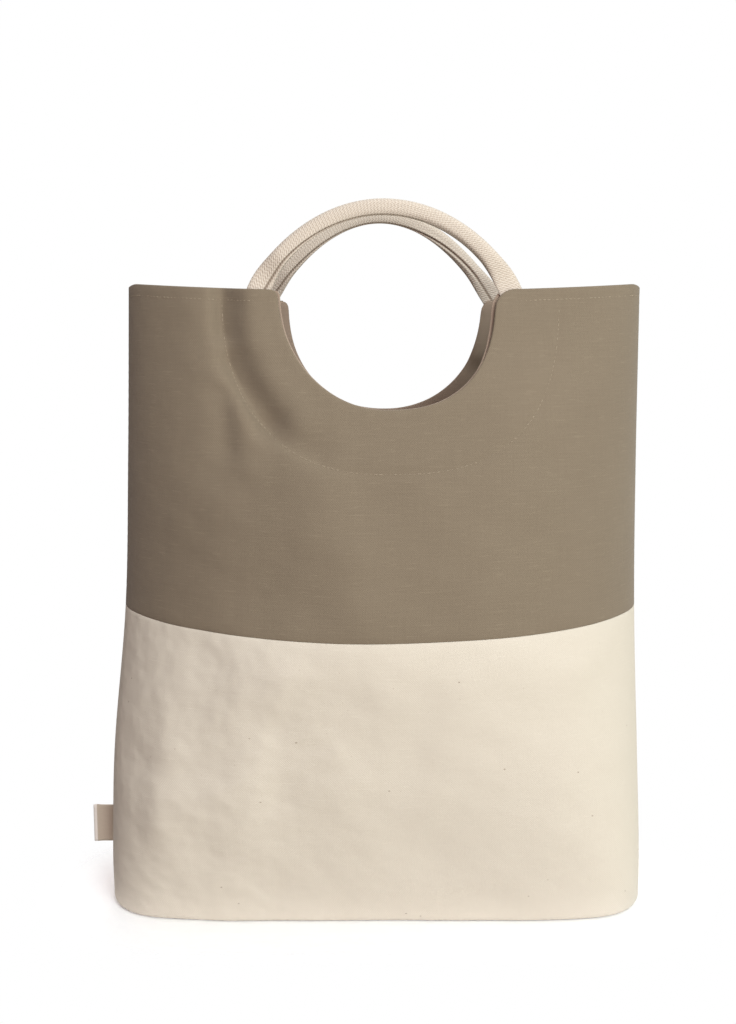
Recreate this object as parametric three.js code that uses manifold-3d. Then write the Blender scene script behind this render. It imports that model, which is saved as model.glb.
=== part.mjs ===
// A canvas shopper: an upright soft bag on a flat base, with a round hand cut-out in the top edge of
// its front and back, a rolled webbing handle over each cut-out and a small folded tab in a side seam.
// Millimetres, +Z up. The base rests on z = 0 and the front faces -Y.

import * as THREE from "three";
import { mergeVertices } from "three/addons/utils/BufferGeometryUtils.js";
import Module from "manifold-3d";

const wasm = await Module();
wasm.setup();

// Cloth and seams
const CLOTH = 1.5; // heavy canvas of a wall
const FACING_CLOTH = 1.3; // the band sewn inside a cut-out
const GAP = 0.3; // clearance that stands for a seam between two pieces
const SPLIT = { seam: 209.3, droop: 5 }; // where the darker cloth meets the lighter one, lower in the middle
const BASE_CLOTH = 1.6;
const BASE_LIFT = 0.2; // the walls end about this far above the floor
const EDGE_ROLL = 4; // radius with which a wall turns under at the base seam

// Top edge: highest at the side seams, lower where the handles are sewn in
const FRONT = -1;
const BACK = 1;
const TOP = {
  [FRONT]: { seam: 428, dip: 5 },
  [BACK]: { seam: 428, dip: 14 },
};

// Level sections of the bag, a row for each height. A half section from seam to seam is
// depth * (1 - |x / half|^crown)^pinch.
const SECTIONS = [
  { height: 0, shift: 0, half: 186.5, front: 57, back: 56, crown: 8.6, pinch: 0.436 },
  { height: 40, shift: -0.3, half: 186.2, front: 70, back: 68, crown: 6.4, pinch: 0.46 },
  { height: 110, shift: -0.4, half: 183.6, front: 85, back: 81, crown: 3.8, pinch: 0.53 },
  { height: 209, shift: 2.4, half: 176.6, front: 95, back: 89, crown: 2.2, pinch: 0.591 },
  { height: 310, shift: 3.6, half: 173.4, front: 86, back: 82, crown: 2.5, pinch: 0.6 },
  { height: 430, shift: 5, half: 171.2, front: 60, back: 58, crown: 2.8, pinch: 0.6 },
];

// Folds and dents, a row for each: a line from (x0, z0) to (x1, z1) on one side of the bag, how far
// it reaches to both sides of that line and how far the cloth moves out (in, where negative).
const FOLDS = [
  { side: FRONT, x0: -101, z0: 430, x1: -99, z1: 398, reach: 12, out: -4.4 },
  { side: FRONT, x0: -94, z0: 376, x1: -72, z1: 341, reach: 12, out: -3.8 },
  { side: FRONT, x0: -117, z0: 430, x1: -114, z1: 376, reach: 11, out: 1.8 },
  { side: FRONT, x0: -95, z0: 350, x1: -92, z1: 320, reach: 10, out: -1.6 },
  { side: FRONT, x0: -83, z0: 346, x1: -81, z1: 314, reach: 10, out: 1.6 },
  { side: FRONT, x0: -70, z0: 418, x1: -56, z1: 368, reach: 16, out: 2.2 },
  { side: FRONT, x0: -96, z0: 192, x1: -70, z1: 156, reach: 26, out: -2.6 },
  { side: FRONT, x0: -40, z0: 178, x1: -20, z1: 126, reach: 24, out: 1.8 },
  { side: FRONT, x0: -136, z0: 156, x1: -128, z1: 76, reach: 20, out: 2.2 },
  { side: FRONT, x0: -158, z0: 116, x1: -152, z1: 56, reach: 13, out: -2.0 },
  { side: FRONT, x0: 92, z0: 176, x1: 60, z1: 116, reach: 34, out: -1.6 },
  { side: FRONT, x0: 120, z0: 336, x1: 140, z1: 256, reach: 36, out: 1.8 },
  { side: BACK, x0: -70, z0: 330, x1: -40, z1: 270, reach: 26, out: -2.6 },
  { side: BACK, x0: 110, z0: 330, x1: 84, z1: 256, reach: 30, out: -2.4 },
  { side: BACK, x0: 60, z0: 156, x1: 96, z1: 86, reach: 30, out: -2.2 },
  { side: BACK, x0: -100, z0: 166, x1: -80, z1: 96, reach: 30, out: 2.0 },
];

// Hand cut-outs: a deep round notch, its floor and its fullness to each side, and its top corners
const CUTS = {
  [FRONT]: { centre: 5.8, half: 68.8, floor: 349.5, full: [2.0, 2.5], corner: [4, 11] },
  [BACK]: { centre: 6.5, half: 69.5, floor: 338, full: [2.2, 2.2], corner: [3, 3] },
};
const FACING_WIDTH = 47; // how far the facing goes on beyond the cut-out

// Handles: an arch over each cut-out, rise * (1 - (x / half)^2)^slope above its spring, with the two
// ends pressed flat between wall and facing, where they spread by splay for each mm of depth
const HANDLES = {
  [FRONT]: { centre: 3.4, half: 84.9, spring: 409.9, rise: 64.9, slope: 0.67, bow: 3, splay: 0.1 },
  [BACK]: { centre: 2.4, half: 85.2, spring: 409, rise: 66.4, slope: 0.95, bow: 2, splay: 0.5 },
};
const STRAP_TAIL = 16; // length of the sewn-in end below the spring of the arch
const STRAP_FLAT = 2.4; // thickness of the pressed end
const STRAP_WIDE = 14.4; // width across the pressed end
const ROLL_ACROSS = { end: 14, crown: 10 }; // roll measured in the plane of the arch
const ROLL_THROUGH = { end: 9.5, crown: 13.5 }; // roll measured across that plane
const PRESS_START = 2; // height above the top edge where the end begins to swell
const PRESS_HEIGHT = 13; // further height over which it becomes round
const STRAP_GAP = 0.8; // clearance of a pressed end on both its sides
const STRAP_ROOM = { beside: 23, fade: 16, below: 14 }; // where the facing stands off for an end

// Side tab: a short tape folded in two, its fold outwards
const TAB = { low: 35, tall: 26.5, reach: 15, thick: 2.2 };

// Mesh fineness
const WALL_STEPS = 40;
const UPPER_ROWS = 12;
const FACING_ROWS = 8; // the facing lies on the same grid as its wall
const FACING_MARGIN = 6; // wall steps left free beside each seam
const LOWER_SHARES = [0.001, 0.005, 0.0105, 0.019, 0.075, 0.19, 0.34, 0.52, 0.74, 1]; // of the split's height
const ARCH_STEPS = 30;
const TAIL_STEPS = 3;
const ROLL_SIDES = 10;
const BASE_CORNERS = 72;
const STRAIGHT = 0.02; // a point closer than this to its neighbours' line adds nothing
const CUT_STEPS = 14;
const CORNER_STEPS = 5;
const CORNER_LIFT = 0.5; // lets a rounded corner run out above the top edge

const smooth = (from, to, value) => {
  const f = Math.min(1, Math.max(0, (value - from) / (to - from)));
  return f * f * (3 - 2 * f);
};
const mix = (a, b, f) => a + (b - a) * f;

// One column of the section table at any height, by a cubic through the rows
function column(name, height) {
  const rows = SECTIONS;
  let k = 0;
  while (k < rows.length - 2 && height > rows[k + 1].height) k++;
  const slope = (i) => {
    const before = rows[Math.max(0, i - 1)];
    const after = rows[Math.min(rows.length - 1, i + 1)];
    return (after[name] - before[name]) / (after.height - before.height);
  };
  const span = rows[k + 1].height - rows[k].height;
  const f = (height - rows[k].height) / span;
  const h = f * f * (3 - 2 * f);
  const bulge = span * f * (1 - f) * (slope(k) * (1 - f) - slope(k + 1) * f);
  return mix(rows[k][name], rows[k + 1][name], h) + bulge;
}

// How far the folds move the cloth out at a place
function foldOut(side, x, z) {
  let out = 0;
  for (const fold of FOLDS) {
    if (fold.side !== side) continue;
    const [dx, dz] = [fold.x1 - fold.x0, fold.z1 - fold.z0];
    const along = Math.min(1, Math.max(0, ((x - fold.x0) * dx + (z - fold.z0) * dz) / (dx * dx + dz * dz)));
    const away = Math.hypot(x - fold.x0 - along * dx, z - fold.z0 - along * dz);
    out += fold.out * Math.exp(-((away / fold.reach) ** 2));
  }
  return out;
}

// A place on one side of the bag: across runs from -1 at the left seam to 1 at the right one
function wallPoint(side, across, z, inset) {
  const turnUnder = z < EDGE_ROLL ? EDGE_ROLL - Math.sqrt(EDGE_ROLL ** 2 - (EDGE_ROLL - z) ** 2) : 0;
  const u = Math.sin((across * Math.PI) / 2);
  const half = column("half", z) - inset - turnUnder;
  const depth = column(side === FRONT ? "front" : "back", z) - inset - turnUnder;
  const bow = Math.max(0, 1 - Math.abs(u) ** column("crown", z)) ** column("pinch", z);
  const x = column("shift", z) + half * u;
  const out = foldOut(side, x, z) * smooth(0, 0.5, bow);
  return new THREE.Vector3(x, side * (GAP / 2 + depth * bow + out), z);
}

// The same, found from x instead of from the share across
function wallAtX(side, x, z, inset) {
  let across = 0;
  for (let pass = 0; pass < 24; pass++) {
    const miss = x - wallPoint(side, across, z, inset).x;
    across = Math.min(1, Math.max(-1, across + miss / column("half", z)));
  }
  return wallPoint(side, across, z, inset);
}

function topEdge(side, across) {
  const u = Math.sin((across * Math.PI) / 2);
  return TOP[side].seam - TOP[side].dip * (1 - u * u);
}

// The top edge's height at a place across the bag
function brimAtX(side, x) {
  const { seam, dip } = TOP[side];
  const u = (x - column("shift", seam)) / column("half", seam);
  return seam - dip * (1 - u * u);
}

function splitLine(across) {
  const u = Math.sin((across * Math.PI) / 2);
  return SPLIT.seam - SPLIT.droop * (1 - u * u);
}

// A closed skin from a grid of outer places and the same grid of inner places
function sheet(rows, steps, outer, inner) {
  const places = [];
  const faces = [];
  const layer = (rows + 1) * (steps + 1);
  const at = (row, step, skin) => skin * layer + row * (steps + 1) + step;
  for (const skin of [outer, inner]) {
    for (let row = 0; row <= rows; row++) {
      for (let step = 0; step <= steps; step++) places.push(...skin(row / rows, step / steps).toArray());
    }
  }
  const quad = (a, b, c, d) => faces.push(a, b, c, a, c, d);
  for (let row = 0; row < rows; row++) {
    for (let step = 0; step < steps; step++) {
      quad(at(row, step, 0), at(row, step + 1, 0), at(row + 1, step + 1, 0), at(row + 1, step, 0));
      quad(at(row, step, 1), at(row + 1, step, 1), at(row + 1, step + 1, 1), at(row, step + 1, 1));
    }
  }
  for (let step = 0; step < steps; step++) {
    quad(at(0, step, 1), at(0, step + 1, 1), at(0, step + 1, 0), at(0, step, 0));
    quad(at(rows, step, 0), at(rows, step + 1, 0), at(rows, step + 1, 1), at(rows, step, 1));
  }
  for (let row = 0; row < rows; row++) {
    quad(at(row, 0, 0), at(row + 1, 0, 0), at(row + 1, 0, 1), at(row, 0, 1));
    quad(at(row, steps, 1), at(row + 1, steps, 1), at(row + 1, steps, 0), at(row, steps, 0));
  }
  return solid(places, faces);
}

function solid(places, faces) {
  const geometry = new THREE.BufferGeometry();
  geometry.setAttribute("position", new THREE.Float32BufferAttribute(places, 3));
  geometry.setIndex(faces);
  const p = geometry.getAttribute("position");
  const f = geometry.getIndex();
  const [a, b, c] = [new THREE.Vector3(), new THREE.Vector3(), new THREE.Vector3()];
  let volume = 0;
  for (let i = 0; i < f.count; i += 3) {
    a.fromBufferAttribute(p, f.getX(i));
    b.fromBufferAttribute(p, f.getX(i + 1));
    c.fromBufferAttribute(p, f.getX(i + 2));
    volume += a.dot(b.cross(c));
  }
  if (volume < 0) {
    for (let i = 0; i < f.count; i += 3) {
      const swap = f.getX(i + 1);
      f.setX(i + 1, f.getX(i + 2));
      f.setX(i + 2, swap);
    }
  }
  return geometry;
}

// Solid operations
function toManifold(geometry) {
  const bare = geometry.clone();
  bare.deleteAttribute("normal");
  bare.deleteAttribute("uv");
  const merged = mergeVertices(bare, 1e-4);
  return new wasm.Manifold(
    new wasm.Mesh({
      numProp: 3,
      vertProperties: new Float32Array(merged.getAttribute("position").array),
      triVerts: new Uint32Array(merged.getIndex().array),
    }),
  );
}

function fromManifold(manifold) {
  const mesh = manifold.getMesh();
  const geometry = new THREE.BufferGeometry();
  geometry.setAttribute("position", new THREE.BufferAttribute(new Float32Array(mesh.vertProperties), 3));
  geometry.setIndex(new THREE.BufferAttribute(new Uint32Array(mesh.triVerts), 1));
  return geometry;
}

// A prism through one side of the bag, from an outline drawn in x and z
function prism(side, outline) {
  const reach = 220;
  const geometry = new THREE.ExtrudeGeometry(new THREE.Shape(outline), { depth: reach, bevelEnabled: false });
  geometry.rotateX(Math.PI / 2); // the drawing's height becomes z and its depth runs to -Y
  if (side === BACK) geometry.translate(0, reach, 0);
  return toManifold(geometry);
}

// The outline of a cut-out, grown outwards for its facing
function cutOutline(side, grow) {
  const { centre, half, floor, full, corner } = CUTS[side];
  const edge = TOP[side].seam - TOP[side].dip;
  const above = TOP[side].seam + 20;
  const points = [];
  for (const end of [0, 1]) {
    const sign = end ? 1 : -1;
    const radius = grow ? 0 : corner[end];
    const branch = [new THREE.Vector2(centre + sign * (half + grow + radius), above)];
    for (let k = CORNER_STEPS; k >= 0; k--) {
      const turn = (k / CORNER_STEPS) * (Math.PI / 2);
      const x = half + grow + radius * (1 - Math.cos(turn));
      if (radius) branch.push(new THREE.Vector2(centre + sign * x, edge - radius * (1 - Math.sin(turn)) + CORNER_LIFT));
    }
    for (let k = 1; k <= CUT_STEPS; k++) {
      const turn = (k / CUT_STEPS) * (Math.PI / 2);
      const x = Math.cos(turn) ** (2 / full[end]) * (half + grow);
      const z = edge - Math.sin(turn) ** (2 / full[end]) * (edge - floor + grow);
      if (z < edge - radius - 1 && (k < CUT_STEPS || end)) branch.push(new THREE.Vector2(centre + sign * x, z));
    }
    points.push(...(end ? branch.reverse() : branch));
  }
  return points;
}

// The grid of an upper wall; row and step count from the split and from the left seam
function upperGrid(side, row, step, inset) {
  const across = (2 * step) / WALL_STEPS - 1;
  const low = splitLine(across) + GAP / 2;
  return wallPoint(side, across, mix(low, topEdge(side, across), row / UPPER_ROWS), inset);
}

function upperWall(side) {
  const skin = (inset) => (row, step) => upperGrid(side, row * UPPER_ROWS, step * WALL_STEPS, inset);
  const wall = toManifold(sheet(UPPER_ROWS, WALL_STEPS, skin(0), skin(CLOTH)));
  return fromManifold(wall.subtract(prism(side, cutOutline(side, 0))));
}

function lowerWall(side) {
  const rows = LOWER_SHARES.length - 1;
  const skin = (inset) => (row, step) => {
    const across = 2 * step - 1;
    const share = LOWER_SHARES[Math.round(row * rows)];
    return wallPoint(side, across, share * (splitLine(across) - GAP / 2), inset);
  };
  return sheet(rows, WALL_STEPS, skin(0), skin(CLOTH));
}

// Room that the facing leaves for the two pressed handle ends
function strapRoom(side, x, z) {
  const { centre, half, spring } = HANDLES[side];
  const { beside, fade, below } = STRAP_ROOM;
  const aside = Math.min(...[-1, 1].map((end) => Math.abs(x - centre - end * half)));
  const under = spring - STRAP_TAIL - z;
  const room = STRAP_FLAT + 2 * STRAP_GAP - GAP;
  return room * (1 - smooth(beside, beside + fade, aside)) * (1 - smooth(below, below + fade, under));
}

function facing(side) {
  const steps = WALL_STEPS - 2 * FACING_MARGIN;
  const skin = (inset) => (row, step) => {
    const [wallRow, wallStep] = [UPPER_ROWS - FACING_ROWS * (1 - row), FACING_MARGIN + step * steps];
    const plain = upperGrid(side, wallRow, wallStep, inset);
    return upperGrid(side, wallRow, wallStep, inset + strapRoom(side, plain.x, plain.z));
  };
  const start = CLOTH + GAP;
  const band = toManifold(sheet(FACING_ROWS, steps, skin(start), skin(start + FACING_CLOTH)));
  const kept = band.intersect(prism(side, cutOutline(side, FACING_WIDTH)));
  return fromManifold(kept.subtract(prism(side, cutOutline(side, 0))));
}

// A handle: rings along the arch, each an oval that is pressed flat towards the sewn-in ends
function handle(side) {
  const size = HANDLES[side];
  const mid = CLOTH + STRAP_GAP + STRAP_FLAT / 2;
  const outer = size.half + STRAP_WIDE / 2;
  const brim = Math.max(...[-1, 1].map((end) => brimAtX(side, size.centre + end * outer)));
  const [left, right] = [-1, 1].map((end) => wallAtX(side, size.centre + end * size.half, brim, mid).y);
  const rings = [];
  for (let k = TAIL_STEPS; k > 0; k--) {
    const down = (STRAP_TAIL * k) / TAIL_STEPS;
    rings.push({ x: size.centre - size.half - size.splay * down, z: size.spring - down, turn: 0 });
  }
  for (let k = 0; k <= ARCH_STEPS; k++) {
    const turn = (k / ARCH_STEPS) * Math.PI;
    const x = size.centre - Math.cos(turn) * size.half;
    rings.push({ x, z: size.spring + size.rise * Math.sin(turn) ** (2 * size.slope), turn });
  }
  for (let k = 1; k <= TAIL_STEPS; k++) {
    const down = (STRAP_TAIL * k) / TAIL_STEPS;
    rings.push({ x: size.centre + size.half + size.splay * down, z: size.spring - down, turn: Math.PI });
  }
  const places = [];
  rings.forEach((ring, k) => {
    const before = rings[Math.max(0, k - 1)];
    const after = rings[Math.min(rings.length - 1, k + 1)];
    const way = new THREE.Vector2(after.x - before.x, after.z - before.z).normalize();
    const high = smooth(0, 0.9, Math.sin(ring.turn));
    const free = smooth(brim + PRESS_START, brim + PRESS_START + PRESS_HEIGHT, ring.z);
    const wide = mix(STRAP_WIDE, mix(ROLL_ACROSS.end, ROLL_ACROSS.crown, high), free);
    const thick = mix(STRAP_FLAT, mix(ROLL_THROUGH.end, ROLL_THROUGH.crown, high), free);
    const plane = mix(left, right, ring.turn / Math.PI) + side * size.bow * Math.sin(ring.turn);
    for (let s = 0; s < ROLL_SIDES; s++) {
      const angle = (s / ROLL_SIDES) * 2 * Math.PI;
      const e = (Math.cos(angle) * wide) / 2;
      const [x, z] = [ring.x + e * way.y, ring.z - e * way.x];
      const sewn = wallAtX(side, x, ring.z, mid).y;
      places.push(x, mix(sewn, plane, free) + (Math.sin(angle) * thick) / 2, z);
    }
  });
  const faces = [];
  const last = (rings.length - 1) * ROLL_SIDES;
  for (let s = 0; s < ROLL_SIDES; s++) {
    const n = (s + 1) % ROLL_SIDES;
    for (let k = 0; k < rings.length - 1; k++) {
      const [a, b] = [k * ROLL_SIDES, (k + 1) * ROLL_SIDES];
      faces.push(a + s, a + n, b + n, a + s, b + n, b + s);
    }
    if (s > 0 && s < ROLL_SIDES - 1) {
      faces.push(0, s + 1, s);
      faces.push(last, last + s, last + s + 1);
    }
  }
  return solid(places, faces);
}

function base() {
  const inset = CLOTH + GAP;
  const ring = [];
  for (let k = 0; k < BASE_CORNERS; k++) {
    const share = (4 * (k + 0.5)) / BASE_CORNERS; // two sides, each from -1 to 1
    const side = share < 2 ? FRONT : BACK;
    const across = share < 2 ? share - 1 : 3 - share;
    const edge = wallPoint(side, across, BASE_LIFT, inset);
    ring.push(new THREE.Vector2(edge.x, edge.y));
  }
  // Points on the straight runs are left out
  const outline = ring.filter((point, k) => {
    const before = ring[(k + ring.length - 1) % ring.length];
    const after = ring[(k + 1) % ring.length];
    const run = after.clone().sub(before);
    return Math.abs(run.cross(point.clone().sub(before))) / run.length() > STRAIGHT;
  });
  return new THREE.ExtrudeGeometry(new THREE.Shape(outline), { depth: BASE_CLOTH, bevelEnabled: false });
}

function sideTab() {
  const wall = Math.max(...[0, 0.5, 1].map((f) => -wallPoint(FRONT, -1, TAB.low + f * TAB.tall, 0).x));
  const [near, far] = [-wall - GAP, -wall - GAP - TAB.reach];
  const r = TAB.thick / 2;
  const profile = new THREE.Shape();
  profile.moveTo(near, -r);
  profile.lineTo(near, r);
  profile.lineTo(far + r, r);
  profile.absarc(far + r, 0, r, Math.PI / 2, (3 * Math.PI) / 2, false);
  profile.lineTo(near, -r);
  const tab = new THREE.ExtrudeGeometry(profile, { depth: TAB.tall, bevelEnabled: false, curveSegments: 8 });
  tab.translate(0, 0, TAB.low);
  return tab;
}

const taupeCanvas = new THREE.MeshStandardMaterial({ color: 0x8d7f69, roughness: 0.95, metalness: 0 });
const naturalCanvas = new THREE.MeshStandardMaterial({ color: 0xe2d8c6, roughness: 0.95, metalness: 0 });
const cottonWebbing = new THREE.MeshStandardMaterial({ color: 0xd9c6b0, roughness: 0.95, metalness: 0 });
const labelTape = new THREE.MeshStandardMaterial({ color: 0xcfc3ae, roughness: 0.9, metalness: 0 });

const bag = new THREE.Group();
bag.name = "canvas_shopper";

function piece(name, geometry, material) {
  const flat = geometry.index ? geometry.toNonIndexed() : geometry;
  flat.computeVertexNormals();
  const mesh = new THREE.Mesh(flat, material);
  mesh.name = name;
  bag.add(mesh);
}

piece("base", base(), naturalCanvas);
piece("lower_front", lowerWall(FRONT), naturalCanvas);
piece("lower_back", lowerWall(BACK), naturalCanvas);
piece("upper_front", upperWall(FRONT), taupeCanvas);
piece("upper_back", upperWall(BACK), taupeCanvas);
piece("facing_front", facing(FRONT), taupeCanvas);
piece("facing_back", facing(BACK), taupeCanvas);
piece("handle_front", handle(FRONT), cottonWebbing);
piece("handle_back", handle(BACK), cottonWebbing);
piece("side_label", sideTab(), labelTape);

export default bag;
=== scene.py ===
# %% [markdown]
# A canvas shopper. The bag is sewn from flat pieces of cotton: two darker panels with a round hand
# cut-out, two natural panels below them, a base, two facings inside the cut-outs, two rolled webbing
# handles and a small folded tab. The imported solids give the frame, and this script dresses them:
# every cloth piece is cut flat, wrapped round the same form and given a woven finish.

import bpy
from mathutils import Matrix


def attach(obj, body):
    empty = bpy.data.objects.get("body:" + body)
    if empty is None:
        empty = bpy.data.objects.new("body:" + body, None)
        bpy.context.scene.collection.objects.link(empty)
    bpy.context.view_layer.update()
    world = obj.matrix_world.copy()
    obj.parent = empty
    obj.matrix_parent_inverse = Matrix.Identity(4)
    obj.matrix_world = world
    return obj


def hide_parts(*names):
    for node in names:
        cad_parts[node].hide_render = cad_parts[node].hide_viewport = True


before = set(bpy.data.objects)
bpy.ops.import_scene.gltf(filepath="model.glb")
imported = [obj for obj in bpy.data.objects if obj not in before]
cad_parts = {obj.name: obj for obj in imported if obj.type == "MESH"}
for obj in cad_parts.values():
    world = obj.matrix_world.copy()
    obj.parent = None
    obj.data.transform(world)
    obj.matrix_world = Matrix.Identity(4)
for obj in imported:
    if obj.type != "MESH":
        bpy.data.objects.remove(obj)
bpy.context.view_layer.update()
print("solids in the frame:", ", ".join(sorted(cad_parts)))

# %% [markdown]
# Sizes of the bag are in millimetres, as in the part's source, and become metres where a mesh or a
# finish is made. The floor and the lights are in metres.

# %% Tools
import math

import bpy
import numpy as np
from mathutils import Vector
from mathutils.geometry import delaunay_2d_cdt

MM = 0.001

# %% [markdown]
# The camera comes first, because everything is judged through it. The photograph was taken from
# close by, from about the height of the bag's top edge and looking slightly down, so the far handle
# looks smaller than the near one. The place was found by fitting the curve of the colour split and
# the corners of the base.

# %% Camera
PHOTO_TALL = 1024  # pixels
FOCAL_PIXELS = 1353.0
CAMERA_SIDE, CAMERA_AWAY, CAMERA_HIGH = -5.86 * MM, 920 * MM, 419.5 * MM
CAMERA_DIP = 0.158  # radians below the horizon

camera_data = bpy.data.cameras.new("photo_camera")
camera_data.sensor_width = 36.0
camera_data.lens = FOCAL_PIXELS / PHOTO_TALL * camera_data.sensor_width
camera_data.clip_start = 0.02
camera = bpy.data.objects.new("photo_camera", camera_data)
camera.location = (CAMERA_SIDE, -CAMERA_AWAY, CAMERA_HIGH)
camera.rotation_euler = (math.pi / 2 - CAMERA_DIP, 0, 0)
bpy.context.collection.objects.link(camera)
bpy.context.scene.camera = camera
print("lens %.1f mm" % camera_data.lens)

# %% [markdown]
# The form of the bag is a loft through level sections. A bag like this stands on a flat base with
# round corners, swells towards the middle and closes again at the top, where both panels lie flatter
# beside the hand cut-outs. A half section from seam to seam is depth * (1 - |u|^crown)^pinch: a high
# crown gives the long straight sides of the base, a low one the lens shape higher up. The same rows
# drive the solids, so the cloth lies where they are.

# %% Level sections
FRONT, BACK = -1, 1
SECTION_COLUMNS = ("height", "shift", "half", "front", "back", "crown", "pinch")
SECTIONS = [
    (0, 0.0, 186.5, 57, 56, 8.6, 0.436),
    (40, -0.3, 186.2, 70, 68, 6.4, 0.46),
    (110, -0.4, 183.6, 85, 81, 3.8, 0.53),
    (209, 2.4, 176.6, 95, 89, 2.2, 0.591),
    (310, 3.6, 173.4, 86, 82, 2.5, 0.6),
    (430, 5.0, 171.2, 60, 58, 2.8, 0.6),
]
SECTION = {name: np.array(values, float) for name, values in zip(SECTION_COLUMNS, zip(*SECTIONS))}


def column(name, z):
    """One column of the section table at any height, by a cubic through the rows."""
    heights, values = SECTION["height"], SECTION[name]
    last = len(heights) - 1
    before = np.maximum(np.arange(last + 1) - 1, 0)
    after = np.minimum(np.arange(last + 1) + 1, last)
    slope = (values[after] - values[before]) / (heights[after] - heights[before])
    k = np.clip(np.searchsorted(heights[1:-1], z), 0, last - 1)
    span = heights[k + 1] - heights[k]
    f = (z - heights[k]) / span
    bulge = span * f * (1 - f) * (slope[k] * (1 - f) - slope[k + 1] * f)
    return values[k] + (values[k + 1] - values[k]) * f * f * (3 - 2 * f) + bulge


def ease(low, high, value):
    f = np.clip((value - low) / (high - low), 0, 1)
    return f * f * (3 - 2 * f)


base_way = 2 * SECTION["half"][0] + 2 * SECTION["front"][0]
print("round the front of the base from seam to seam: about %.0f mm" % base_way)

# %% [markdown]
# Cloth is never quite smooth. The large folds of this bag are beside the left end of the front
# handle, where the stitched facing pulls a valley into the panel. Under the cut-out the panel swells
# softly, and the natural cloth below is only dented. Each fold is a row: a line on the panel, how far
# it reaches to the left and right of that line and how far the cloth moves out. Shallow waves and
# small dents are drawn at random, the same on each run, so that no part is perfectly even.

# %% Folds and soft waves
FOLD_COLUMNS = ("side", "x0", "z0", "x1", "z1", "left", "right", "out")
FOLDS = [
    (FRONT, -101, 430, -99, 398, 5, 12, -7.6),
    (FRONT, -94, 377, -72, 341, 5, 14, -7.4),
    (FRONT, -82, 430, -80, 392, 10, 13, 3.8),
    (FRONT, -71, 372, -52, 342, 10, 14, 3.2),
    (FRONT, -118, 430, -115, 376, 14, 10, 0.8),
    (FRONT, -62, 334, -36, 320, 5, 12, -2.6),
    (FRONT, -98, 358, -95, 326, 9, 6, -1.9),
    (FRONT, -84, 346, -81, 314, 7, 12, 1.6),
    (FRONT, -70, 184, 130, 184, 22, 18, 1.8),
    (FRONT, -113, 196, -109, 184, 14, 13, -2.6),
    (FRONT, -140, 152, -140, 122, 12, 13, 2.2),
    (FRONT, -146, 98, -146, 74, 10, 13, 2.0),
    (FRONT, -118, 68, -115, 56, 14, 12, -1.9),
    (FRONT, -62, 142, -58, 128, 17, 15, -1.5),
    (FRONT, -84, 112, -78, 96, 16, 16, 1.1),
    (FRONT, 40, 160, 30, 132, 18, 18, -1.0),
    (FRONT, 92, 146, 70, 106, 30, 30, -1.3),
    (FRONT, 120, 336, 140, 256, 36, 36, 1.8),
    (FRONT, -37, 300, -20, 232, 40, 28, 4.0),
    (BACK, -70, 330, -40, 270, 26, 26, -2.6),
    (BACK, 110, 330, 84, 256, 30, 30, -2.4),
    (BACK, 60, 156, 96, 86, 30, 30, -2.2),
    (BACK, -100, 166, -80, 96, 30, 30, 2.0),
]
WAVE_COUNT = 26
WAVE_LENGTHS = (26, 110)  # mm
WAVE_HEIGHT = 0.0018  # of a wave's length
DENT_COUNT = 110
DENT_REACH = (7, 21)  # mm
DENT_DEEP = 0.055  # of a dent's reach, either way
DENT_ACROSS, DENT_UP = (-180, 180), (14, 200)  # mm: where dents lie on a panel
DENT_CALM, CALM_FROM = 0.7, (-40, 60)  # share of the depth lost at the right, mm: where the loss grows
DENT_END = 3  # reaches beyond which a dent is nothing
WAVE_SEED, DENT_SEED = 11, 23
waves = np.random.RandomState(WAVE_SEED)
WAVES = [
    (length, turn, start)
    for length, turn, start in zip(
        waves.uniform(*WAVE_LENGTHS, WAVE_COUNT),
        waves.uniform(0, math.pi, WAVE_COUNT),
        waves.uniform(0, 2 * math.pi, WAVE_COUNT),
    )
]


def scatter_dents(side):
    """Small dents in the natural cloth, most of them at the left: x, z, reach and depth."""
    draw = np.random.RandomState(DENT_SEED + side)
    across, up = draw.uniform(*DENT_ACROSS, DENT_COUNT), draw.uniform(*DENT_UP, DENT_COUNT)
    reach, deep = draw.uniform(*DENT_REACH, DENT_COUNT), draw.normal(0, DENT_DEEP, DENT_COUNT)
    lively = 1.0 - DENT_CALM * ease(*CALM_FROM, across)
    return np.stack([across, up, reach, deep * reach * lively], -1)


DENTS = {side: scatter_dents(side) for side in (FRONT, BACK)}


def fold_out(side, x, z):
    """How far the folds, waves and dents move the cloth out, in mm."""
    out = np.zeros_like(x)
    for row in FOLDS:
        fold = dict(zip(FOLD_COLUMNS, row))
        if fold["side"] != side:
            continue
        dx, dz = fold["x1"] - fold["x0"], fold["z1"] - fold["z0"]
        along = np.clip(((x - fold["x0"]) * dx + (z - fold["z0"]) * dz) / (dx * dx + dz * dz), 0, 1)
        away = np.hypot(x - fold["x0"] - along * dx, z - fold["z0"] - along * dz)
        across = dx * (z - fold["z0"]) - dz * (x - fold["x0"])
        to_right = np.clip(across / (math.hypot(dx, dz) * np.maximum(away, 0.1)), -1, 1)
        reach = fold["left"] + (fold["right"] - fold["left"]) * (0.5 + 0.5 * to_right)
        out += fold["out"] * np.exp(-((away / reach) ** 2))
    for length, turn, start in WAVES:
        phase = 2 * math.pi * (x * math.cos(turn) * side + z * math.sin(turn)) / length
        out += WAVE_HEIGHT * length * np.sin(phase + start)
    for dent_x, dent_z, reach, deep in DENTS[side]:
        near = (np.abs(x - dent_x) < DENT_END * reach) & (np.abs(z - dent_z) < DENT_END * reach)
        away = ((x[near] - dent_x) ** 2 + (z[near] - dent_z) ** 2) / reach**2
        out[near] += deep * np.exp(-away)
    return out


print("folds:", len(FOLDS), "waves:", len(WAVES), "dents on a side:", DENT_COUNT)

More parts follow.
